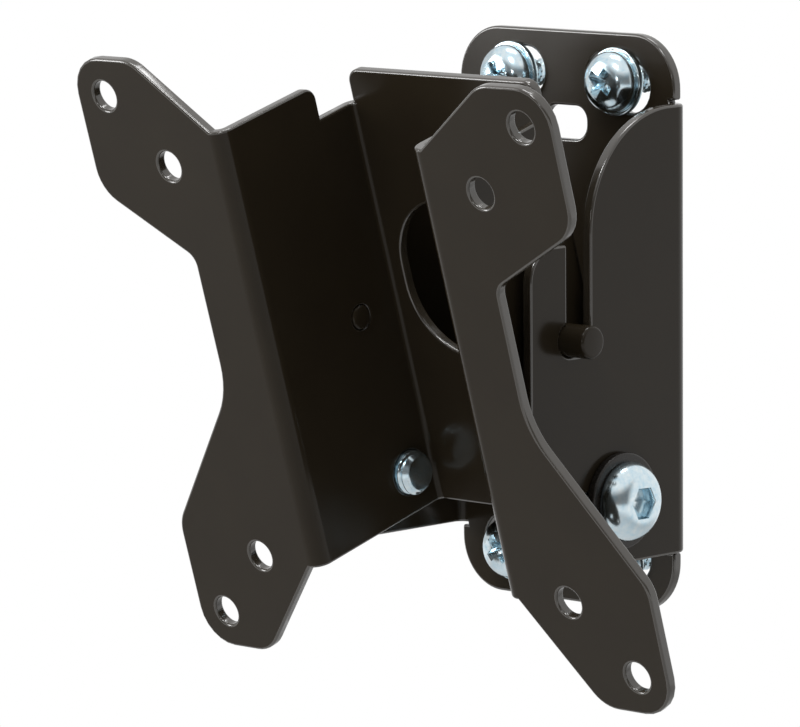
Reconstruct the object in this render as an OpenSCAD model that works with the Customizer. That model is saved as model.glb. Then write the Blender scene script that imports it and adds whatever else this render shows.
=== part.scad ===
// Tilting wall mount for a small flat screen. A folded wall bracket carries a
// folded tilt bracket on two pins that hook into open-topped slots. Two clamp
// bolts below the pins run in curved slots and hold the tilt.
// X is to the right, Y goes into the wall and Z is up. The origin is the
// middle of the face that lies on the wall.

/* [Sheet and clearances] */
// Thickness of the wall bracket's sheet
wall_t = 2; // [1.5:0.1:2.5]
// Thickness of the tilt bracket's sheet
tilt_t = 2; // [1.5:0.1:2.5]
// Inside radius of the wall bracket's folds
wall_fold_r = 1.6; // [1:0.1:2.2]
// Inside radius of the tilt bracket's folds
tilt_fold_r = 1; // [0.6:0.1:2]
// Gap between faces that slide on each other
slide_gap = 0.05; // [0.03:0.01:0.1]
// Gap around a plain bolt or screw in its hole
bolt_play = 0.25; // [0.1:0.05:0.3]

/* [Wall bracket] */
// Width over the two side walls
channel_w = 56.2; // [54:0.2:62]
// Height of the side walls
side_h = 79.6; // [77:0.2:84]
// Depth of the side walls from the wall face
side_d = 41.8; // [41:0.2:44]
// Radius of the large round at the top of a side wall
rise_r = 21; // [14:1:24]
// Height of the front finger's top above the origin
finger_top = 17.5; // [12:0.5:20]
// Radius of the finger's front corner
finger_r = 6; // [2:0.5:8]
// Radius of the side wall's lower front corner
toe_r = 14; // [11:1:18]
// Width of the plate's rounded ends
plate_w = 51.6; // [49:0.2:53]
// Height of the plate over both rounded ends
plate_h = 103.2; // [101:0.2:110]
// Radius of the plate's corners
plate_r = 9.5; // [6:0.5:12]
// Height of the relief cut at each end of a fold
relief_h = 0.5; // [0.3:0.1:2]
// Distance of the hook slot's middle from the wall face
slot_d = 29.5; // [28:0.1:30.5]
// How far the pin's seat lies in front of the slot's middle
seat_step = 2.1; // [1:0.1:2.5]
// Height of the pin's seat above the origin
pivot_z = 0.9; // [-2:0.1:3]

/* [Wall fixing] */
// Distance of the fixing screws from the middle, sideways
fix_x = 12.6; // [11:0.1:13]
// Distance of the fixing screws from the middle, up and down
fix_z = 43; // [42:0.1:43.5]
// Length of a curved fixing slot, end to end
fix_slot_l = 15.2; // [13:0.2:17]
// Height of a fixing slot
fix_slot_h = 9; // [7:0.2:9.6]
// Width of the sighting opening
sight_w = 10; // [6:0.5:14]
// Height of the sighting opening
sight_h = 6; // [6:0.5:7]
// Radius of the sighting opening's corners
sight_r = 2.7; // [1:0.1:2.9]
// Height of the sighting opening's middle
sight_z = 35.1; // [32:0.1:36]
// Diameter of a wall screw's shank
screw_d = 5; // [4:0.1:5.5]
// Diameter of a wall screw's head
screw_head_d = 11; // [9.5:0.1:12]
// Height of a wall screw's head
screw_head_h = 3.7; // [3:0.1:4.5]
// Length of a wall screw below its head
screw_l = 15; // [12:0.5:16]
// Diameter of a wall screw's plain neck, from its head to the wall
screw_neck_d = 4.2; // [3.6:0.1:4.6]
// Diameter of a wall screw's washer
screw_washer_d = 12.2; // [11.6:0.1:14]
// Thickness of a wall screw's washer
screw_washer_t = 1.2; // [1:0.1:1.6]

/* [Tilt bracket] */
// Tilt of the screen's face at rest, top edge away from the wall
tilt_rest = 16.6; // [0:0.1:20]
// Tilt limit with the top edge towards the wall
tilt_back = 5; // [0:1:6]
// Tilt limit with the top edge away from the wall
tilt_forward = 20; // [17:1:20]
// Depth from the screen's face to the back of the channel
tilt_d = 34.5; // [32:0.5:36]
// Height of the channel's top edge above the hole pattern's middle
web_top = 44.6; // [42:0.2:48]
// Depth of the channel's bottom edge below the hole pattern's middle
web_low = 38.5; // [37:0.5:40]
// Depth of the corner notches in the channel's top edge
notch_h = 6.2; // [3:0.1:8]
// Length of the corner notches, front to back
notch_l = 8.4; // [6:0.1:10]
// Radius of the corners beside the notches
notch_r = 2.5; // [1:0.5:3]
// Width of the window in the back of the channel
window_w = 38; // [30:0.5:40]
// Height of the window's top edge above the hole pattern's middle
window_top = 20.5; // [18:0.5:24]
// Depth of the window's bottom edge below the hole pattern's middle
window_low = 9; // [8.5:0.5:12]
// Radius of the window's corners
window_r = 13; // [6:0.5:13]

/* [Screen wings] */
// Spacing of the inner screen holes
hole_gap_small = 75; // [75, 75]
// Spacing of the outer screen holes
hole_gap_large = 100; // [100, 100]
// Diameter of the screen holes
hole_d = 5.5; // [5:0.1:6]
// Width over the wings
wing_w = 114; // [112:0.5:118]
// Height over the wings' ears
wing_h = 114; // [112:0.5:118]
// Radius of the ears' outer corners
ear_r = 7; // [4:0.5:8]
// Distance of the wings' waist from the middle
waist_x = 36.5; // [34:0.1:38]
// Where the upper ear starts at the waist
upper_root_z = 20.3; // [16:0.1:22]
// Where the upper ear's sloping edge reaches its outer side
upper_tip_z = 31.8; // [29:0.1:34]
// Radius between the waist and the upper ear
upper_root_r = 3; // [1:0.5:6]
// Where the lower ear starts at the waist, below the middle
lower_root_z = 5.4; // [4:0.1:8]
// Where the lower ear's sloping edge reaches its outer side, below the middle
lower_tip_z = 32.8; // [30:0.1:34]
// Radius between the waist and the lower ear
lower_root_r = 16; // [8:1:20]
// Start of the flat top edge of an ear
crown_top_x = 41.8; // [40:0.1:43]
// Start of the flat bottom edge of an ear
crown_low_x = 40.7; // [39:0.1:43]

/* [Pins and clamp bolts] */
// Diameter of the pivot pins
pin_d = 5.8; // [5:0.1:6.2]
// Gap around a pin in its seat
pin_play = 0.1; // [0.02:0.01:0.1]
// How far a pin stands out of the side wall
pin_proud = 5.3; // [4:0.1:6]
// Diameter of a pin's riveted end in the web
tenon_d = 4.4; // [3.6:0.1:4.6]
// How far the riveted end stands inside the web
tenon_proud = 0.4; // [0.2:0.1:0.8]
// Distance of the pins behind the screen's face
pin_y = 23.1; // [22.5:0.1:23.5]
// Height of the pins above the hole pattern's middle
pin_up = 0.9; // [0:0.1:2]
// Distance of the clamp bolts below the pins
bolt_drop = 31.6; // [30.5:0.1:32.5]
// Distance of the clamp bolts behind the pins
bolt_back = 3.4; // [2:0.1:4]
// Diameter of the clamp bolts' thread
bolt_d = 8; // [6:0.5:8]
// Diameter of the clamp bolts' heads
bolt_head_d = 14; // [12:0.5:15]
// Height of the clamp bolts' heads
bolt_head_h = 4.4; // [3.6:0.1:5]
// Width of the hexagon socket across its flats
socket_w = 5; // [4:0.5:5]
// Depth of the hexagon socket
socket_h = 2.6; // [2:0.1:3]
// How far a clamp bolt's end stands inside the web
bolt_tip = 2.7; // [2:0.1:4]
// Diameter of the flat on a clamp bolt's pointed end
bolt_point_d = 5; // [4:0.1:5.4]
// Length of a clamp bolt's pointed end
bolt_point_h = 0.9; // [0.5:0.1:1.2]
// Diameter of the outer washers
bolt_washer_d = 17; // [15.5:0.5:18]
// Thickness of the outer washers
bolt_washer_t = 1.6; // [1.2:0.1:2]
// Diameter of the spacer washers between web and side wall
spacer_d = 16; // [14:0.5:18]
// Thickness of the spacer washers between web and side wall
spacer_t = 1.6; // [1.2:0.1:2]

/* [Hidden] */
$fn = 64;
arc_steps = 6;
edge_chamfer = 0.5;
thread_gap = 0.03;
over = 1;
coating = "#231f1d";
zinc = "#c3c9cf";

side_z = side_h / 2;
seat_r = pin_d / 2 + pin_play;
slot_rear = slot_d - seat_r;
pivot_y = -(slot_d + seat_step);
wall_fold_x = channel_w / 2 - wall_t - wall_fold_r;

web_out = channel_w / 2 - wall_t - spacer_t - slide_gap;
web_in = web_out - tilt_t;
wing_x = web_out + tilt_fold_r;
back_y = tilt_d - tilt_t;
bolt_reach = norm([bolt_drop, bolt_back]);
bolt_angle = atan2(bolt_back, bolt_drop);
bolt_hole_r = bolt_d / 2 + bolt_play;
washer_x = channel_w / 2 + slide_gap;
head_x = washer_x + bolt_washer_t;

// Step of length 1 in the direction of an angle
function heading(angle) = [cos(angle), sin(angle)];

// Arc that rounds the corner at b, coming from a and going on to c
function corner_arc(a, b, c, r) =
    let (
        to_a = (a - b) / norm(a - b),
        to_c = (c - b) / norm(c - b),
        half = acos(to_a * to_c) / 2,
        middle = b + (to_a + to_c) / norm(to_a + to_c) * r / sin(half),
        from = b + to_a * r / tan(half) - middle,
        to = b + to_c * r / tan(half) - middle,
        start = atan2(from.y, from.x),
        turn = atan2(from.x * to.y - from.y * to.x, from * to)
    )
    [for (i = [0:arc_steps]) middle + r * heading(start + turn * i / arc_steps)];

// Outline through corners given as [x, y, radius], sharp where the radius is 0
function rounded(corners) =
    let (n = len(corners), at = [for (c = corners) [c[0], c[1]]])
    [for (i = [0:n - 1])
        each corners[i][2] == 0 ? [at[i]]
            : corner_arc(at[(i + n - 1) % n], at[i], at[(i + 1) % n], corners[i][2])];

// Rectangle about the origin with true round corners
module round_rect(w, h, r) {
    square([w, h - 2 * r], center = true);
    square([w - 2 * r, h], center = true);
    for (x = [-1, 1], y = [-1, 1])
        translate([x * (w / 2 - r), y * (h / 2 - r)]) circle(r);
}

// Curved slot about the origin for a round of radius r that swings from low to high
module curved_slot(reach, low, high, r) {
    turn = (high - low) / arc_steps;
    polygon([
        for (i = [0:arc_steps - 1]) (reach + r) * heading(low + i * turn),
        for (i = [0:2 * arc_steps])
            reach * heading(high) + r * heading(high + i * 90 / arc_steps),
        for (i = [1:arc_steps - 1]) (reach - r) * heading(high - i * turn),
        for (i = [0:2 * arc_steps - 1])
            reach * heading(low) + r * heading(low + 180 + i * 90 / arc_steps)
    ]);
}

// What is left of a square corner outside a round of radius r
module corner_waste(r) {
    difference() {
        square(r + over);
        circle(r);
    }
}

// Puts a drawing in X and Z on the plane y = front and gives it depth towards +Y
module upright(front, depth) {
    translate([0, front + depth, 0]) rotate([90, 0, 0]) linear_extrude(depth) children();
}

// Puts a drawing in Y and Z on the plane x = left and gives it width towards +X
module sideways(left, width) {
    translate([left, 0, 0]) rotate([90, 0, 90]) linear_extrude(width) children();
}

// Quarter of a folded sheet about the fold's centre, from +X round to +Y
module fold(r, t) {
    intersection() {
        difference() {
            circle(r + t);
            circle(r);
        }
        square(r + t + over);
    }
}

// Turns a part that is drawn upright about the hole pattern into the tilted frame
module tilted() {
    translate([0, pivot_y, pivot_z])
        rotate([tilt_rest, 0, 0])
            translate([0, -pin_y, -pin_up])
                children();
}

// Section of the wall bracket's channel, seen from above
module wall_section() {
    for (side = [0, 1]) mirror([side, 0]) {
        translate([0, -wall_t]) square([wall_fold_x, wall_t]);
        translate([wall_fold_x, -wall_t - wall_fold_r]) fold(wall_fold_r, wall_t);
        translate([channel_w / 2 - wall_t, -side_d])
            square([wall_t, side_d - wall_t - wall_fold_r]);
    }
}

// Side wall in Y and Z: a tall rear part, the hook slot and a front finger
module side_outline() {
    rise_y = -(slot_rear - rise_r);
    toe_y = toe_r - side_d;
    finger_y = finger_r - side_d;
    difference() {
        union() {
            translate([-slot_rear, -side_z]) square([slot_rear, side_h - rise_r]);
            translate([rise_y, -side_z]) square([-rise_y, side_h]);
            translate([rise_y, side_z - rise_r]) circle(rise_r);
            translate([-side_d, toe_r - side_z])
                square([side_d, finger_top - finger_r + side_z - toe_r]);
            translate([toe_y, -side_z]) square([-toe_y, toe_r + over]);
            translate([toe_y, toe_r - side_z]) circle(toe_r);
            translate([finger_y, 0]) square([-slot_rear - finger_y, finger_top]);
            translate([finger_y, finger_top - finger_r]) circle(finger_r);
        }
        hook_slot();
        clamp_slot();
    }
}

// Open slot for a pin, with a seat that steps forward at its bottom
module hook_slot() {
    translate([-slot_rear - 2 * seat_r, pivot_z]) square([2 * seat_r, side_h]);
    translate([-slot_d, pivot_z]) circle(seat_r);
    translate([pivot_y, pivot_z - seat_r]) square([seat_step, 2 * seat_r]);
    translate([pivot_y, pivot_z]) circle(seat_r);
}

// Curved slot that a clamp bolt follows about the pin
module clamp_slot() {
    middle = bolt_angle - 90;
    translate([pivot_y, pivot_z])
        curved_slot(bolt_reach, middle - tilt_back, middle + tilt_forward, bolt_hole_r);
}

// Four curved slots for the wall screws, which let the plate turn about its middle
module fixing_slots() {
    reach = norm([fix_x, fix_z]);
    middle = atan2(fix_z, fix_x);
    swing = (fix_slot_l - fix_slot_h) / 2 / reach * 180 / PI;
    for (x = [0, 1], z = [0, 1]) mirror([x, 0]) mirror([0, z])
        curved_slot(reach, middle - swing, middle + swing, fix_slot_h / 2);
}

// Rounded end plates in X and Z, with relief cuts beside the folds
module plate_outline() {
    intersection() {
        round_rect(plate_w, plate_h, plate_r);
        union() {
            square([2 * wall_fold_x, plate_h + over], center = true);
            for (z = [-1, 1])
                translate([0, z * (side_z + relief_h + plate_h / 2)])
                    square([plate_w + over, plate_h], center = true);
        }
    }
}

module wall_bracket() {
    color(coating) difference() {
        union() {
            intersection() {
                translate([0, 0, -side_z]) linear_extrude(side_h) wall_section();
                sideways(-channel_w, 2 * channel_w) side_outline();
            }
            upright(-wall_t, wall_t) plate_outline();
        }
        upright(-2 * wall_t, 3 * wall_t) {
            fixing_slots();
            translate([0, sight_z]) round_rect(sight_w, sight_h, sight_r);
        }
    }
}

// Half of the tilt bracket's section: fold, web, fold and back
module tilt_section() {
    for (side = [0, 1]) mirror([side, 0]) {
        front_section(back_y - tilt_fold_r);
        translate([web_in - tilt_fold_r, back_y - tilt_fold_r]) fold(tilt_fold_r, tilt_t);
        translate([0, back_y]) square([web_in - tilt_fold_r, tilt_t]);
    }
}

// Front fold and the web behind it, back to y = rear
module front_section(rear) {
    translate([web_out + tilt_fold_r, tilt_t + tilt_fold_r])
        rotate(180) fold(tilt_fold_r, tilt_t);
    translate([web_in, tilt_t + tilt_fold_r]) square([tilt_t, rear - tilt_t - tilt_fold_r]);
    translate([wing_x, 0]) square([tilt_t, tilt_t]);
}

// Channel of the tilt bracket, notched at its two top rear corners
module tilt_channel() {
    notch_y = back_y - notch_l;
    step_z = web_top - notch_h;
    translate([0, 0, -web_low]) linear_extrude(step_z + web_low) tilt_section();
    difference() {
        translate([0, 0, step_z]) linear_extrude(notch_h) {
            for (side = [0, 1]) mirror([side, 0]) front_section(notch_y);
            translate([-web_in, back_y]) square([2 * web_in, tilt_t]);
        }
        sideways(-channel_w, 2 * channel_w)
            translate([notch_y - notch_r, web_top - notch_r]) intersection() {
                corner_waste(notch_r);
                square([notch_r + tilt_t / 2, notch_r + over]);
            }
        upright(back_y - over, tilt_t + 2 * over)
            for (side = [0, 1]) mirror([side, 0])
                translate([web_in - notch_r, web_top - notch_r]) corner_waste(notch_r);
    }
}

// One wing in X and Z, from the fold line out to its two ears
module wing_outline() {
    tip_x = wing_w / 2;
    tip_z = wing_h / 2;
    polygon(rounded([
        [wing_x, -web_low, 0],
        [crown_low_x, -tip_z, ear_r],
        [tip_x, -tip_z, ear_r],
        [tip_x, -lower_tip_z, ear_r],
        [waist_x, -lower_root_z, lower_root_r],
        [waist_x, upper_root_z, upper_root_r],
        [tip_x, upper_tip_z, ear_r],
        [tip_x, tip_z, ear_r],
        [crown_top_x, tip_z, ear_r],
        [wing_x, web_top, 0]
    ]));
}

module tilt_bracket() {
    color(coating) tilted() difference() {
        union() {
            tilt_channel();
            upright(0, tilt_t)
                for (side = [0, 1]) mirror([side, 0]) wing_outline();
        }
        for (gap = [hole_gap_small, hole_gap_large], x = [-1, 1], z = [-1, 1])
            translate([x * gap / 2, -over, z * gap / 2])
                rotate([-90, 0, 0]) cylinder(d = hole_d, h = tilt_t + 2 * over);
        upright(back_y - over, tilt_t + 2 * over)
            translate([0, (window_top - window_low) / 2])
                round_rect(window_w, window_top + window_low, window_r);
        at_pins() cylinder(d = tenon_d, h = tilt_t + 2 * over);
        at_bolts() cylinder(d = bolt_d, h = tilt_t + 2 * over);
    }
}

// Both pin places on the webs, starting inside the web and pointing outwards
module at_pins() {
    for (side = [0, 1]) mirror([side, 0, 0])
        translate([web_in - over, pin_y, pin_up]) rotate([0, 90, 0]) children();
}

// Both bolt places on the webs, starting inside the web and pointing outwards
module at_bolts() {
    for (side = [0, 1]) mirror([side, 0, 0])
        translate([web_in - over, pin_y + bolt_back, pin_up - bolt_drop])
            rotate([0, 90, 0]) children();
}

// Places a right-hand piece on its side: 1 is right and -1 is left
module on_side(side) {
    tilted() mirror([side < 0 ? 1 : 0, 0, 0]) children();
}

// Round rod along +X from x = start to x = end, narrowed at its start to a flat
module rod(d, start, end, flat_d, flat_h = edge_chamfer) {
    translate([start, 0, 0]) rotate([0, 90, 0]) {
        cylinder(d1 = flat_d, d2 = d, h = flat_h);
        translate([0, 0, flat_h]) cylinder(d = d, h = end - start - flat_h);
    }
}

module pivot_pin(side) {
    color(coating) on_side(side) translate([0, pin_y, pin_up]) {
        rod(tenon_d - 2 * thread_gap, web_in - tenon_proud, web_out, tenon_d - 2 * edge_chamfer);
        mirror([1, 0, 0])
            rod(pin_d, -channel_w / 2 - pin_proud, -web_out, pin_d - 2 * edge_chamfer);
    }
}

// Domed head of height h on the plane z = 0, with a rim of a quarter of its height
module dome(d, h) {
    rim = h / 4;
    rise = h - rim;
    flat = d / 5;
    ball = (pow(d / 2 - flat, 2) + rise * rise) / (2 * rise);
    spread = acos(1 - rise / ball);
    rotate_extrude() polygon([
        [0, 0], [d / 2, 0],
        for (i = [0:arc_steps])
            let (a = spread * (1 - i / arc_steps))
            [flat + ball * sin(a), h - ball * (1 - cos(a))],
        [0, h]
    ]);
}

module tilt_bolt(side) {
    color(zinc) on_side(side) translate([0, pin_y + bolt_back, pin_up - bolt_drop]) {
        rod(bolt_d - 2 * thread_gap, web_in - bolt_tip, head_x, bolt_point_d, bolt_point_h);
        translate([head_x, 0, 0]) rotate([0, 90, 0]) difference() {
            dome(bolt_head_d, bolt_head_h);
            translate([0, 0, bolt_head_h - socket_h])
                cylinder(d = socket_w / cos(30), h = socket_h + over, $fn = 6);
        }
    }
}

// Flat washer around a clamp bolt, from x = start outwards
module bolt_ring(side, start, d, t) {
    on_side(side) translate([start, pin_y + bolt_back, pin_up - bolt_drop])
        rotate([0, 90, 0]) difference() {
            cylinder(d = d, h = t);
            translate([0, 0, -over]) cylinder(r = bolt_hole_r, h = t + 2 * over);
        }
}

module bolt_washer(side) {
    color(coating) bolt_ring(side, washer_x, bolt_washer_d, bolt_washer_t);
}

module spacer_washer(side) {
    color(zinc) bolt_ring(side, web_out, spacer_d, spacer_t);
}

// Puts a fastener that points along -Z at one of the four wall fixings
module at_fixing(x, z) {
    translate([x * fix_x, -wall_t, z * fix_z]) rotate([90, 0, 0]) children();
}

// Cross recess that narrows towards its bottom
module cross_recess(width, depth) {
    for (turn = [0, 90]) rotate(turn) rotate([90, 0, 0])
        linear_extrude(width / 4, center = true)
            polygon([[-width / 2, over], [-width / 2, 0], [-width / 5, -depth],
                [width / 5, -depth], [width / 2, 0], [width / 2, over]]);
}

module wall_screw(x, z) {
    neck_h = wall_t + screw_washer_t;
    color(zinc) at_fixing(x, z) translate([0, 0, screw_washer_t]) {
        difference() {
            dome(screw_head_d, screw_head_h);
            translate([0, 0, screw_head_h]) cross_recess(screw_head_d / 2, screw_head_h * 2 / 3);
        }
        translate([0, 0, -neck_h]) cylinder(d = screw_neck_d, h = neck_h);
        translate([0, 0, -screw_l]) {
            cylinder(d1 = screw_d - 2 * edge_chamfer, d2 = screw_d, h = edge_chamfer);
            translate([0, 0, edge_chamfer])
                cylinder(d = screw_d, h = screw_l - neck_h - edge_chamfer);
        }
    }
}

module screw_washer(x, z) {
    color(zinc) at_fixing(x, z) difference() {
        cylinder(d = screw_washer_d, h = screw_washer_t);
        translate([0, 0, -over])
            cylinder(d = screw_d + 2 * bolt_play, h = screw_washer_t + 2 * over);
    }
}

wall_bracket();
tilt_bracket();
pivot_pin(-1);  // pivot_pin_left
pivot_pin(1);  // pivot_pin_right
tilt_bolt(-1);  // tilt_bolt_left
tilt_bolt(1);  // tilt_bolt_right
bolt_washer(-1);  // bolt_washer_left
bolt_washer(1);  // bolt_washer_right
spacer_washer(-1);  // spacer_washer_left
spacer_washer(1);  // spacer_washer_right
wall_screw(-1, 1);  // wall_screw_top_left
wall_screw(1, 1);  // wall_screw_top_right
wall_screw(-1, -1);  // wall_screw_low_left
wall_screw(1, -1);  // wall_screw_low_right
screw_washer(-1, 1);  // screw_washer_top_left
screw_washer(1, 1);  // screw_washer_top_right
screw_washer(-1, -1);  // screw_washer_low_left
screw_washer(1, -1);  // screw_washer_low_right
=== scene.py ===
"""Looks of a tilting wall mount for a small flat screen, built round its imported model.

Floor, lamps and camera are placed in metres. The pieces' sizes are in millimetres,
which MM turns to metres. X is to the right, Y goes into the wall and Z is up. The
origin is the middle of the face that lies on the wall.
"""

import math

import bmesh
import bpy
from mathutils import Matrix, Vector


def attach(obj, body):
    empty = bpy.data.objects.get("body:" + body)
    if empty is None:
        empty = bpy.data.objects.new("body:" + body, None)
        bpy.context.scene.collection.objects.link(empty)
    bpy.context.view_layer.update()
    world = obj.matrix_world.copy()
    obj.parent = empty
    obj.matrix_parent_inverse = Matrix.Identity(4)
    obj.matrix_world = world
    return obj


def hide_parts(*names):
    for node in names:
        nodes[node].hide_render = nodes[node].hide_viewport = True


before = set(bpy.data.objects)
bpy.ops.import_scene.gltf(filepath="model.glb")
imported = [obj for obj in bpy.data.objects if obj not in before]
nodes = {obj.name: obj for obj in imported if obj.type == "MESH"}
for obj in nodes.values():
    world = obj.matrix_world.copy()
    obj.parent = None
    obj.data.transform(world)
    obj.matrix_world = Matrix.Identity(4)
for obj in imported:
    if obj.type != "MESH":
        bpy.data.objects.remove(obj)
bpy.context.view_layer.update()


# Wall bracket
# One blank of 2 mm cold-rolled steel, folded into a channel. Its side walls carry
# the tilting half, and its two rounded end plates are screwed to the wall.
# It is degreased, powder coated in black and baked after folding.

MM = 0.001


def linear(code):
    """Linear colour, with alpha 1, of an sRGB hex code"""
    channels = [int(code[i : i + 2], 16) / 255 for i in (1, 3, 5)]
    return [c / 12.92 if c <= 0.04045 else ((c + 0.055) / 1.055) ** 2.4 for c in channels] + [1]


def new_material(name):
    """Empty material, its node tree and the output node"""
    material = bpy.data.materials.new(name)
    material.use_nodes = True
    tree = material.node_tree
    tree.nodes.clear()
    return material, tree, tree.nodes.new("ShaderNodeOutputMaterial")


def add(tree, kind, settings=None, **inputs):
    """Adds a node. settings are its own attributes. inputs are values or sockets to
    link, by the input's name, or by its number as in i0."""
    node = tree.nodes.new("ShaderNode" + kind)
    for key, value in (settings or {}).items():
        setattr(node, key, value)
    for key, value in inputs.items():
        numbered = key[0] == "i" and key[1:].isdigit()
        socket = node.inputs[int(key[1:]) if numbered else key.replace("_", " ")]
        if isinstance(value, bpy.types.NodeSocket):
            tree.links.new(value, socket)
        else:
            socket.default_value = value
    return node


def finished(name, mesh, materials, body, node_name):
    """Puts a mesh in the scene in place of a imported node, riding on the node's body"""
    for material in materials:
        mesh.materials.append(material)
    mesh.shade_smooth()
    piece = bpy.data.objects.new(name, mesh)
    bpy.context.scene.collection.objects.link(piece)
    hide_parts(node_name)
    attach(piece, body)
    return piece


# Faces that turn by less than FLAT are one face, and by more than SHARP meet in an edge
FLAT = math.radians(0.4)
SHARP = math.radians(40)
WELD = 0.001 * MM
ROUND_STEPS = 4
CUT_WIDTH, CUT_JOIN = 1.1, 1.2


def is_cut_face(face, sheet):
    """Whether a face is a piece of a sheet's cut edge, which is as wide as the sheet.
    A fold's faces are narrow too, but the joins between them are as long as the fold."""
    width = 2 * face.calc_area() / sum(edge.calc_length() for edge in face.edges)
    joins = [edge.calc_length() for edge in face.edges if edge.calc_face_angle(0) < SHARP]
    return width < CUT_WIDTH * sheet and max(joins, default=0) < CUT_JOIN * sheet


def worn_edges(node_name, radius, sheet=0):
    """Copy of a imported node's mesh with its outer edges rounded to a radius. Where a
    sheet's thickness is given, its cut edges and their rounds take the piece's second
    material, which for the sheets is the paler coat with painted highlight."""
    source = nodes[node_name]
    work = bmesh.new()
    work.from_mesh(source.data)
    work.transform(source.matrix_world)
    bmesh.ops.remove_doubles(work, verts=work.verts, dist=WELD)
    bmesh.ops.dissolve_limit(work, angle_limit=FLAT, verts=work.verts, edges=work.edges)
    for face in work.faces:
        face.material_index = int(is_cut_face(face, sheet))
    sharp = [edge for edge in work.edges
             if edge.is_manifold and edge.calc_face_angle_signed() > SHARP]
    bmesh.ops.bevel(work, geom=sharp, offset=radius, offset_type="OFFSET",
                    segments=ROUND_STEPS, profile=0.5, affect="EDGES",
                    clamp_overlap=False, material=int(sheet > 0))
    mesh = bpy.data.meshes.new(node_name + "_worn")
    work.to_mesh(mesh)
    work.free()
    return mesh


def even_shade(piece):
    """Keeps flat faces flat-looking beside their rounded edges"""
    weighted = piece.modifiers.new("even_shade", "WEIGHTED_NORMAL")
    weighted.weight = 100
    weighted.keep_sharp = True


# Epoxy-polyester powder coat, baked: a deep brownish black with an even gloss.
# The melt levels into a faint orange peel about 3 mm across, which breaks up
# reflections a little, and the gloss changes slightly over some 12 mm. Its pale
# image of the room is weak, so its IOR is set below that of the clear resin.
COAT_BLACK = "#262018"
COAT_BROWN = "#2b251b"
PEEL_WIDTH = 3 * MM
CLOUD_WIDTH = 12 * MM

powder_coat, tree, output = new_material("powder_coated_steel_gloss_black")
place = add(tree, "TexCoord").outputs["Object"]
peel = add(tree, "TexNoise", Vector=place, Scale=1 / PEEL_WIDTH, Detail=1.0, Roughness=0.4)
cloud = add(tree, "TexNoise", Vector=place, Scale=1 / CLOUD_WIDTH, Detail=2.0, Roughness=0.5)
bump = add(tree, "Bump", Height=peel.outputs["Fac"], Strength=0.04, Distance=0.1 * MM)
colour = add(tree, "Mix", {"data_type": "RGBA"}, i0=cloud.outputs["Fac"],
             i6=linear(COAT_BLACK), i7=linear(COAT_BROWN))
gloss = add(tree, "MapRange", Value=cloud.outputs["Fac"], From_Min=0.3, From_Max=0.7,
            To_Min=0.16, To_Max=0.2)
shader = add(tree, "BsdfPrincipled", Base_Color=colour.outputs[2], Roughness=gloss.outputs[0],
             IOR=1.28, Normal=bump.outputs[0])
tree.links.new(shader.outputs[0], output.inputs[0])

# The same coat on a cut edge: the melt draws back from the edge and leaves a thin,
# smooth film, glossier than on the faces, which takes the bright glints. Its paler
# colour is painted highlight, for the light that the rounded edges catch.
EDGE_HIGHLIGHT_BROWN = "#2d2820"
EDGE_HIGHLIGHT_PALE = "#39332a"

edge_coat_painted_highlight, tree, output = new_material("powder_coated_steel_cut_edge_painted_highlight")
place = add(tree, "TexCoord").outputs["Object"]
thin = add(tree, "TexNoise", Vector=place, Scale=1 / PEEL_WIDTH, Detail=3.0, Roughness=0.6)
bump = add(tree, "Bump", Height=thin.outputs["Fac"], Strength=0.06, Distance=0.1 * MM)
colour = add(tree, "Mix", {"data_type": "RGBA"}, i0=thin.outputs["Fac"],
             i6=linear(EDGE_HIGHLIGHT_BROWN), i7=linear(EDGE_HIGHLIGHT_PALE))
gloss = add(tree, "MapRange", Value=thin.outputs["Fac"], From_Min=0.3, From_Max=0.7,
            To_Min=0.13, To_Max=0.2)
shader = add(tree, "BsdfPrincipled", Base_Color=colour.outputs[2], Roughness=gloss.outputs[0],
             IOR=1.8, Normal=bump.outputs[0])
tree.links.new(shader.outputs[0], output.inputs[0])

SHEET = 2 * MM
WALL_EDGE = 0.45 * MM

even_shade(finished("wall_bracket_folded", worn_edges("wall_bracket", WALL_EDGE, SHEET),
                    (powder_coat, edge_coat_painted_highlight), "wall_side", "wall_bracket"))


# Wall screws and their washers
# Four pan-head screws with a cross recess hold the end plates to the wall, each
# over a flat washer. Both are cold-formed steel with bright zinc plating.

# Bright zinc with a clear blue passivation: a smooth, slightly clouded metal
# that turns bluish where the film is thicker.
ZINC_LIGHT = "#e3eaeb"
ZINC_BLUE = "#b6d4e3"
STAIN_WIDTH = 1.2 * MM

zinc_plate, tree, output = new_material("zinc_plated_steel_bright")
place = add(tree, "TexCoord").outputs["Object"]
stain = add(tree, "TexNoise", Vector=place, Scale=1 / STAIN_WIDTH, Detail=3.0, Roughness=0.6)
spread = add(tree, "MapRange", Value=stain.outputs["Fac"], From_Min=0.2, From_Max=0.8)
colour = add(tree, "Mix", {"data_type": "RGBA"}, i0=spread.outputs[0],
             i6=linear(ZINC_LIGHT), i7=linear(ZINC_BLUE))
gloss = add(tree, "MapRange", Value=stain.outputs["Fac"], From_Min=0.3, From_Max=0.7,
            To_Min=0.14, To_Max=0.22)
bump = add(tree, "Bump", Height=stain.outputs["Fac"], Strength=0.08, Distance=0.03 * MM)
shader = add(tree, "BsdfPrincipled", Base_Color=colour.outputs[2], Metallic=1.0,
             Roughness=gloss.outputs[0], Normal=bump.outputs[0])
tree.links.new(shader.outputs[0], output.inputs[0])

CREASE = math.radians(38)
QUARTER_ROUND = [math.pi / 8 * i for i in (1, 2, 3, 4)]
RIM_EASE = 0.15


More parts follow.
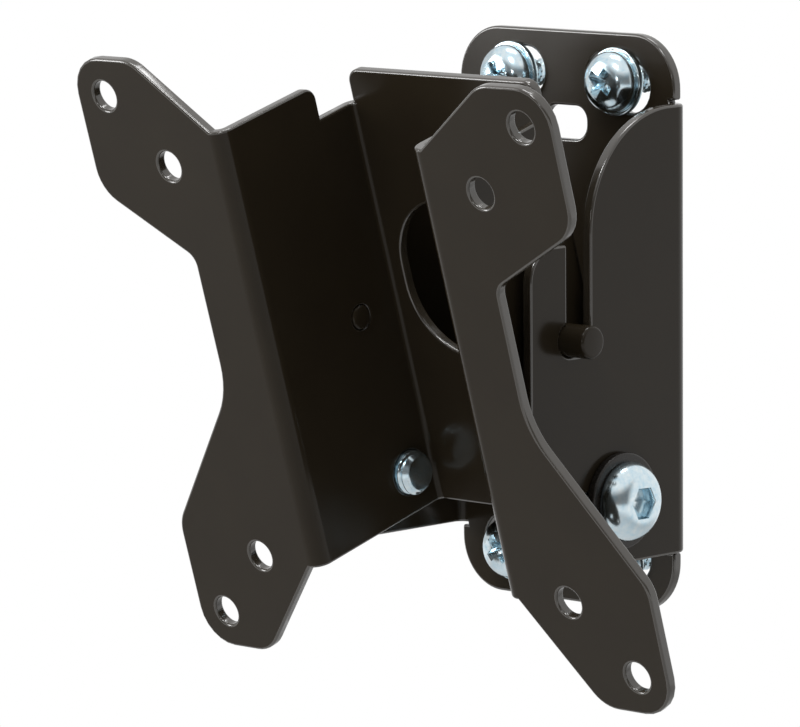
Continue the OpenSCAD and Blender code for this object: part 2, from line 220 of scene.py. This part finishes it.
def turned(name, rings, place, steps=96):
    """Mesh of rings about +X, in millimetres, put in its place by a matrix.
    A ring is (x, radius), or gives these two for a turn in radians."""
    verts, faces = [], []
    for ring in rings:
        for i in range(steps):
            turn = 2 * math.pi * i / steps
            x, r = ring(turn) if callable(ring) else ring
            point = Vector((x * MM, r * math.cos(turn) * MM, r * math.sin(turn) * MM))
            verts.append(place @ point)
    for k in range(len(rings) - 1):
        low, high = k * steps, (k + 1) * steps
        faces += [(low + i, high + i, high + (i + 1) % steps, low + (i + 1) % steps)
                  for i in range(steps)]
    faces.append(tuple(range(steps)))
    faces.append(tuple(reversed(range(len(verts) - steps, len(verts)))))
    mesh = bpy.data.meshes.new(name)
    mesh.from_pydata(verts, [], faces)
    work = bmesh.new()
    work.from_mesh(mesh)
    bmesh.ops.recalc_face_normals(work, faces=work.faces)
    work.to_mesh(mesh)
    work.free()
    mesh.set_sharp_from_angle(angle=CREASE)
    return mesh


def dome(base, width, height):
    """Crown of a head: how high above its underside a given radius lies. It is flat in
    the middle and falls by three quarters of the head's height towards the rim."""
    rise = height * 3 / 4
    flat = width / 5
    ball = ((width / 2 - flat) ** 2 + rise ** 2) / (2 * rise)
    return lambda r: base + height - ball + math.sqrt(max(0, ball ** 2 - max(0, r - flat) ** 2))


def dome_rings(base, width, height, inner, rim_r, steps):
    """Rings of a head from its underside, round its rim and up its crown to a radius"""
    top, edge = dome(base, width, height), width / 2
    rings = [(base, edge - rim_r)]
    rings += [(base + rim_r * (1 - math.cos(a)), edge - rim_r * (1 - math.sin(a)))
              for a in QUARTER_ROUND]
    rings.append((top(edge) - RIM_EASE, edge))
    for i in range(1, steps + 1):
        r = edge - (edge - inner) * i / steps
        rings.append((top(r), r))
    return rings


def helix(pitch, x, turn):
    """Distance along the axis to the nearest crest of a right-hand thread"""
    along = (x / pitch + turn / (2 * math.pi)) % 1
    return abs(along - 0.5) * pitch


# Where the screws sit, and the head from its underside at HEAD_LOW to its crown
SCREW_X, SCREW_Z = 12.6, 43
HEAD_LOW, HEAD_WIDTH, HEAD_HIGH = 3.2, 11, 3.7
HEAD_RIM, CROWN_IN, CROWN_STEPS = 0.4, 3.1, 12
# Cross recess, which narrows from a broken edge down to a point: how deep each of its
# rings lies, how far the arms reach there and half their width
ARM_REACH, ARM_HALF, RECESS_DEEP = 2.6, 0.72, 2.4
RECESS_RINGS = ((0, ARM_REACH + 0.15, ARM_HALF + 0.15),
                (0.35, ARM_REACH - 0.02, ARM_HALF),
                (1.4, ARM_REACH * 0.72, ARM_HALF * 0.9),
                (RECESS_DEEP, ARM_REACH * 0.42, ARM_HALF * 0.75),
                (RECESS_DEEP + 0.3, 0.1, 0.08))
# Wood thread in the wall, its blunt point and the smooth neck in the bracket
SCREW_END, THREAD_OUT = -11.8, -0.3
NECK_R, SHANK_R, ROOT_R = 2.1, 2.5, 1.8
WOOD_PITCH, CREST_HALF = 2.1, 0.5
POINT_SHARE, POINT_TAPER = 0.25, 4
WOOD_STEP, WOOD_STEPS = 0.14, 81


def cross(turn, reach, half):
    """Radius of a cross-shaped outline at a turn angle"""
    c, s = max(abs(math.cos(turn)), 1e-6), max(abs(math.sin(turn)), 1e-6)
    return max(min(reach / c, half / s), min(reach / s, half / c))


def screw_thread(x):
    """Ring of the wood thread, which tapers to the screw's point"""
    body = min(1, POINT_SHARE + (x - SCREW_END) / POINT_TAPER)

    def ring(turn):
        ridge = max(0, 1 - helix(WOOD_PITCH, x, turn) / CREST_HALF)
        return x, (ROOT_R + (SHANK_R - ROOT_R) * ridge) * body

    return ring


def recess(depth, reach, half):
    """Ring of the cross recess, measured down from the crown where the depth is 0"""
    def ring(turn):
        r = cross(turn, reach, half)
        return (crown(r) if depth == 0 else HEAD_LOW + HEAD_HIGH - depth), r

    return ring


crown = dome(HEAD_LOW, HEAD_WIDTH, HEAD_HIGH)
screw_rings = [screw_thread(SCREW_END + WOOD_STEP * k) for k in range(WOOD_STEPS)]
screw_rings += [(THREAD_OUT, ROOT_R), (0, NECK_R), (HEAD_LOW, NECK_R)]
screw_rings += dome_rings(HEAD_LOW, HEAD_WIDTH, HEAD_HIGH, CROWN_IN, HEAD_RIM, CROWN_STEPS)
screw_rings += [recess(*ring) for ring in RECESS_RINGS]

WASHER_EDGE = 0.25 * MM

out_of_wall = Matrix.Rotation(math.radians(-90), 4, "Z")
for corner, side, level, degrees in (("top_left", -1, 1, 20), ("top_right", 1, 1, -33),
                                     ("low_left", -1, -1, 40), ("low_right", 1, -1, 5)):
    seat = (Matrix.Translation((side * SCREW_X * MM, 0, level * SCREW_Z * MM)) @ out_of_wall
            @ Matrix.Rotation(math.radians(degrees), 4, "X"))
    finished("pan_screw_" + corner, turned("pan_screw", screw_rings, seat), (zinc_plate,),
             "wall_side", "wall_screw_" + corner)
    even_shade(finished("screw_ring_" + corner,
                        worn_edges("screw_washer_" + corner, WASHER_EDGE), (zinc_plate,),
                        "wall_side", "screw_washer_" + corner))


# Tilt bracket
# One blank of 2 mm cold-rolled steel with two winged flanges for the screen's
# screws, folded into a channel and powder coated like the wall bracket.

WING_EDGE = 0.45 * MM

even_shade(finished("tilt_bracket_folded", worn_edges("tilt_bracket", WING_EDGE, SHEET),
                    (powder_coat, edge_coat_painted_highlight), "tilt_side", "tilt_bracket"))


# Pivot pins
# Turned steel studs, riveted into the channel's webs before coating, so they
# carry the same powder coat. They drop into the wall bracket's hooked slots.

# The hinge's line seen from the wall, the same line in the tilt bracket's own
# upright frame, and the tilt at rest
PIVOT_Y, PIVOT_Z = -31.6, 0.9
PIN_Y, PIN_UP = 23.1, 0.9
TILT_REST = math.radians(16.6)

WEB_OUT, PIN_OUT, PIN_R, PIN_BREAK, PIN_ROUND = 24.45, 33.4, 2.9, 0.1, 0.6
PIN_STEPS = 64
# Rivet head inside the web: how far out from RIVET_IN each of its radii lies
RIVET_IN, RIVET_R = 22.05, 2.17
RIVET_HEAD = ((0, 0.9), (0.04, RIVET_R - 0.5), (0.14, RIVET_R - 0.2), (0.32, RIVET_R))

tilted = (Matrix.Translation((0, PIVOT_Y * MM, PIVOT_Z * MM)) @ Matrix.Rotation(TILT_REST, 4, "X")
          @ Matrix.Translation((0, -PIN_Y * MM, -PIN_UP * MM)))
side_turns = {"left": Matrix.Rotation(math.pi, 4, "Z"), "right": Matrix.Identity(4)}

pin_rings = [(RIVET_IN + out, r) for out, r in RIVET_HEAD]
pin_rings += [(WEB_OUT, RIVET_R), (WEB_OUT, PIN_R - PIN_BREAK), (WEB_OUT + PIN_BREAK, PIN_R),
              (PIN_OUT - PIN_ROUND, PIN_R)]
pin_rings += [(PIN_OUT - PIN_ROUND + PIN_ROUND * math.sin(a),
               PIN_R - PIN_ROUND * (1 - math.cos(a))) for a in QUARTER_ROUND]
for side, turn in side_turns.items():
    seat = tilted @ Matrix.Translation((0, PIN_Y * MM, PIN_UP * MM)) @ turn
    finished("riveted_pin_" + side, turned("riveted_pin", pin_rings, seat, PIN_STEPS),
             (powder_coat,), "tilt_side", "pivot_pin_" + side)


# Spacer washers
# Plain zinc-plated steel washers between each web and the side wall beside it.
# They sit on the clamp bolts and keep the two coats apart.

for side in side_turns:
    even_shade(finished("spacer_ring_" + side, worn_edges("spacer_washer_" + side, WASHER_EDGE),
                        (zinc_plate,), "tilt_side", "spacer_washer_" + side))


# Clamp bolts and their washers
# Button-head M8 screws with a hexagon socket clamp the tilt through the curved
# slots. They are zinc plated, and the washers under their heads are black.

# How far below and behind the pins the bolts sit
BOLT_DROP, BOLT_BACK = 31.6, 3.4
# Chamfered point and machine thread, which ends in the web
TIP, TIP_R, TIP_BREAK, TIP_FACE = 19.75, 2.9, 0.12, 0.03
CONE_R, POINT_LONG = 3.0, 1.0
BOLT_R, PITCH, THREAD_DEEP, THREAD_END = 3.97, 1.25, 0.72, 22.55
CREST_FLAT, FLANK = 0.2, 2.4
BOLT_STEP, BOLT_STEPS = 0.06, 45
# Head from its underside at BUTTON_LOW to its crown
BUTTON_LOW, BUTTON_WIDTH, BUTTON_HIGH = 29.75, 14, 4.4
BUTTON_RIM, BUTTON_IN, BUTTON_STEPS = 0.5, 3.2, 16
# Hexagon socket with a broken edge and a drilled bottom: how deep each of its rings
# lies, and half the width across its flats there
SOCKET_HALF, SOCKET_DEEP = 2.5, 2.6
SOCKET_RINGS = ((0, SOCKET_HALF + 0.2), (0.3, SOCKET_HALF), (SOCKET_DEEP, SOCKET_HALF),
                (SOCKET_DEEP, SOCKET_HALF - 0.5))
DRILL_DEEP, DRILL_R = 0.6, 0.2
BOLT_TURN = math.radians(12)


def bolt_thread(x):
    """Ring of the machine thread, which the bolt's chamfered point cuts into"""
    cone = CONE_R + (x - TIP) * (BOLT_R - TIP_R) / POINT_LONG

    def ring(turn):
        groove = min(1, max(0, helix(PITCH, x, turn) / PITCH * FLANK - CREST_FLAT))
        return x, min(cone, BOLT_R - THREAD_DEEP * groove)

    return ring


def hexagon(turn, half):
    """Radius of a hexagon at a turn angle, half as wide across its flats as given"""
    return half / math.cos((turn + math.pi / 6) % (math.pi / 3) - math.pi / 6)


def socket(depth, half):
    """Ring of the hexagon socket, measured down from the crown where the depth is 0"""
    def ring(turn):
        r = hexagon(turn, half)
        return (button(r) if depth == 0 else BUTTON_LOW + BUTTON_HIGH - depth), r

    return ring


button = dome(BUTTON_LOW, BUTTON_WIDTH, BUTTON_HIGH)
bolt_rings = [(TIP, TIP_R - TIP_BREAK), (TIP + TIP_FACE, TIP_R)]
bolt_rings += [bolt_thread(TIP + BOLT_STEP * k) for k in range(1, BOLT_STEPS + 1)]
bolt_rings += [(THREAD_END, BOLT_R), (BUTTON_LOW, BOLT_R)]
bolt_rings += dome_rings(BUTTON_LOW, BUTTON_WIDTH, BUTTON_HIGH, BUTTON_IN, BUTTON_RIM,
                         BUTTON_STEPS)
bolt_rings += [socket(*ring) for ring in SOCKET_RINGS]
bolt_rings.append((BUTTON_LOW + BUTTON_HIGH - SOCKET_DEEP - DRILL_DEEP, DRILL_R))

# Hot-blackened steel under oil: brownish black, with fine marks from stamping.
WASHER_BLACK = "#1d1a17"
WASHER_BROWN = "#2a2521"
MARK_WIDTH = 1.2 * MM
BLACK_EDGE = 0.4 * MM

black_washer, tree, output = new_material("oxide_black_steel_washer")
place = add(tree, "TexCoord").outputs["Object"]
patch = add(tree, "TexNoise", Vector=place, Scale=1 / MARK_WIDTH, Detail=3.0, Roughness=0.6)
colour = add(tree, "Mix", {"data_type": "RGBA"}, i0=patch.outputs["Fac"],
             i6=linear(WASHER_BLACK), i7=linear(WASHER_BROWN))
gloss = add(tree, "MapRange", Value=patch.outputs["Fac"], From_Min=0.3, From_Max=0.7,
            To_Min=0.22, To_Max=0.34)
bump = add(tree, "Bump", Height=patch.outputs["Fac"], Strength=0.1, Distance=0.05 * MM)
shader = add(tree, "BsdfPrincipled", Base_Color=colour.outputs[2], Roughness=gloss.outputs[0],
             IOR=1.4, Normal=bump.outputs[0])
tree.links.new(shader.outputs[0], output.inputs[0])

for side, turn in side_turns.items():
    seat = (tilted @ Matrix.Translation((0, (PIN_Y + BOLT_BACK) * MM, (PIN_UP - BOLT_DROP) * MM))
            @ turn @ Matrix.Rotation(BOLT_TURN, 4, "X"))
    finished("clamp_bolt_" + side, turned("clamp_bolt", bolt_rings, seat), (zinc_plate,),
             "tilt_side", "tilt_bolt_" + side)
    even_shade(finished("clamp_ring_" + side, worn_edges("bolt_washer_" + side, BLACK_EDGE),
                        (black_washer,), "tilt_side", "bolt_washer_" + side))


# Floor and backdrop
# A pale studio floor below the mount, which keeps its shadow and turns to plain
# white further out, where it is the background of the photograph.

FLOOR_DROP = 0.35
FLOOR_HALF = 3.0
FLOOR_PALE = "#e4e4e4"
WHITE_FROM, WHITE_BY = 0.55, 1.0

floor_paint, tree, output = new_material("matt_pale_floor")
rays = add(tree, "LightPath")
seen = add(tree, "Math", {"operation": "MAXIMUM"}, i0=rays.outputs["Is Camera Ray"],
           i1=rays.outputs["Is Glossy Ray"])
seen = add(tree, "Math", {"operation": "MAXIMUM"}, i0=seen.outputs[0],
           i1=rays.outputs["Is Transmission Ray"])
reach = add(tree, "VectorMath", {"operation": "LENGTH"},
            i0=add(tree, "TexCoord").outputs["Object"])
far = add(tree, "MapRange", Value=reach.outputs["Value"], From_Min=WHITE_FROM,
          From_Max=WHITE_BY)
share = add(tree, "Math", {"operation": "MULTIPLY"}, i0=seen.outputs[0], i1=far.outputs[0])
matt = add(tree, "BsdfDiffuse", Color=linear(FLOOR_PALE))
white = add(tree, "Emission", Strength=1.0)
mixed = add(tree, "MixShader", i0=share.outputs[0], i1=matt.outputs[0], i2=white.outputs[0])
tree.links.new(mixed.outputs[0], output.inputs[0])

floor_mesh = bpy.data.meshes.new("floor")
floor_mesh.from_pydata(
    [(x * FLOOR_HALF, y * FLOOR_HALF, 0) for x, y in ((-1, -1), (1, -1), (1, 1), (-1, 1))],
    [], [(0, 1, 2, 3)])
floor_mesh.materials.append(floor_paint)
floor = bpy.data.objects.new("floor", floor_mesh)
floor.location.z = -FLOOR_DROP
bpy.context.scene.collection.objects.link(floor)


# Light
# Gloss and metal mirror a white backdrop behind the mount, a pale ceiling, a paler
# left wall and an otherwise dim room. Diffuse light comes at half strength from all
# round, and from soft lamps in front, beside the camera, above and on the left.

ROOM = 0.22
LEFT_WALL = 0.7
HALF_LIGHT = 0.5

world = bpy.data.worlds.new("white_studio")
bpy.context.scene.world = world
world.use_nodes = True
tree = world.node_tree
tree.nodes.clear()
rays = add(tree, "LightPath")
plain = add(tree, "Math", {"operation": "MAXIMUM"}, i0=rays.outputs["Is Camera Ray"],
            i1=rays.outputs["Is Transmission Ray"])
seen = add(tree, "Math", {"operation": "MAXIMUM"}, i0=plain.outputs[0],
           i1=rays.outputs["Is Glossy Ray"])
facing = add(tree, "SeparateXYZ", Vector=add(tree, "TexCoord").outputs["Generated"])
shown = add(tree, "MapRange", Value=facing.outputs["Y"], From_Min=0.1, From_Max=0.45,
            To_Min=ROOM, To_Max=1.0)
left_wall = add(tree, "MapRange", Value=facing.outputs["X"], From_Min=-0.15, From_Max=-0.55,
                To_Min=ROOM, To_Max=LEFT_WALL)
ceiling = add(tree, "MapRange", Value=facing.outputs["Z"], From_Min=0.3, From_Max=0.6,
              To_Min=ROOM, To_Max=1.0)
for brighter in (left_wall, ceiling, plain):
    shown = add(tree, "Math", {"operation": "MAXIMUM"}, i0=shown.outputs[0],
                i1=brighter.outputs[0])
strength = add(tree, "Mix", {"data_type": "FLOAT"}, i0=seen.outputs[0], i2=HALF_LIGHT,
               i3=shown.outputs[0])
sky = add(tree, "Background", Color=(1, 1, 1, 1), Strength=strength.outputs[0])
tree.links.new(sky.outputs[0], add(tree, "OutputWorld").inputs[0])

MOUNT_MIDDLE = Vector((0, -0.03, 0))


def lamp(name, at, width, height, watts):
    """Soft rectangular lamp, turned towards the middle of the mount"""
    light = bpy.data.lights.new(name, "AREA")
    light.shape = "RECTANGLE"
    light.size, light.size_y, light.energy = width, height, watts
    holder = bpy.data.objects.new(name, light)
    holder.location = at
    holder.rotation_euler = (MOUNT_MIDDLE - Vector(at)).to_track_quat("-Z", "Y").to_euler()
    bpy.context.scene.collection.objects.link(holder)


lamp("front_lamp", (0.2, -0.62, 0.78), 0.22, 0.15, 2.4)
lamp("near_lamp", (0.28, -0.9, 0.2), 0.08, 0.08, 0.3)
lamp("left_softbox", (-0.75, -0.75, 0.45), 0.6, 0.5, 1.8)
lamp("top_lamp", (-0.1, 0.1, 0.9), 0.4, 0.2, 3)
lamp("left_lamp", (-0.4, -0.4, 0.1), 0.15, 0.15, 0.8)


# Camera
# Long lens from the front right, a little above the mount. Its place and angles
# were fitted to the screen holes, and its lens is given in the frame's pixels.

CAMERA_AT = (0.69188, -0.76105, 0.12490)
FOCAL_PX, CENTRE_PX = 5760.485, (419.778, 390.861)
WIDTH_PX, HEIGHT_PX = 800, 727
YAW, PITCH_DOWN, ROLL = -0.7647905, 0.1337128, -0.0068886

aim = (Matrix.Rotation(ROLL, 3, "Y") @ Matrix.Rotation(PITCH_DOWN, 3, "X")
       @ Matrix.Rotation(YAW, 3, "Z"))
right, forward, up = aim.row[0], aim.row[1], aim.row[2]
lens = bpy.data.cameras.new("camera")
lens.sensor_width = 36
lens.lens = lens.sensor_width * FOCAL_PX / WIDTH_PX
lens.shift_x = (WIDTH_PX / 2 - CENTRE_PX[0]) / WIDTH_PX
lens.shift_y = (CENTRE_PX[1] - HEIGHT_PX / 2) / WIDTH_PX
lens.clip_start, lens.clip_end = 0.01, 50
camera = bpy.data.objects.new("camera", lens)
camera.matrix_world = (Matrix.Translation(CAMERA_AT)
                       @ Matrix((right, up, -forward)).transposed().to_4x4())
bpy.context.scene.collection.objects.link(camera)
bpy.context.scene.camera = camera
bpy.context.scene.view_settings.view_transform = "Standard"
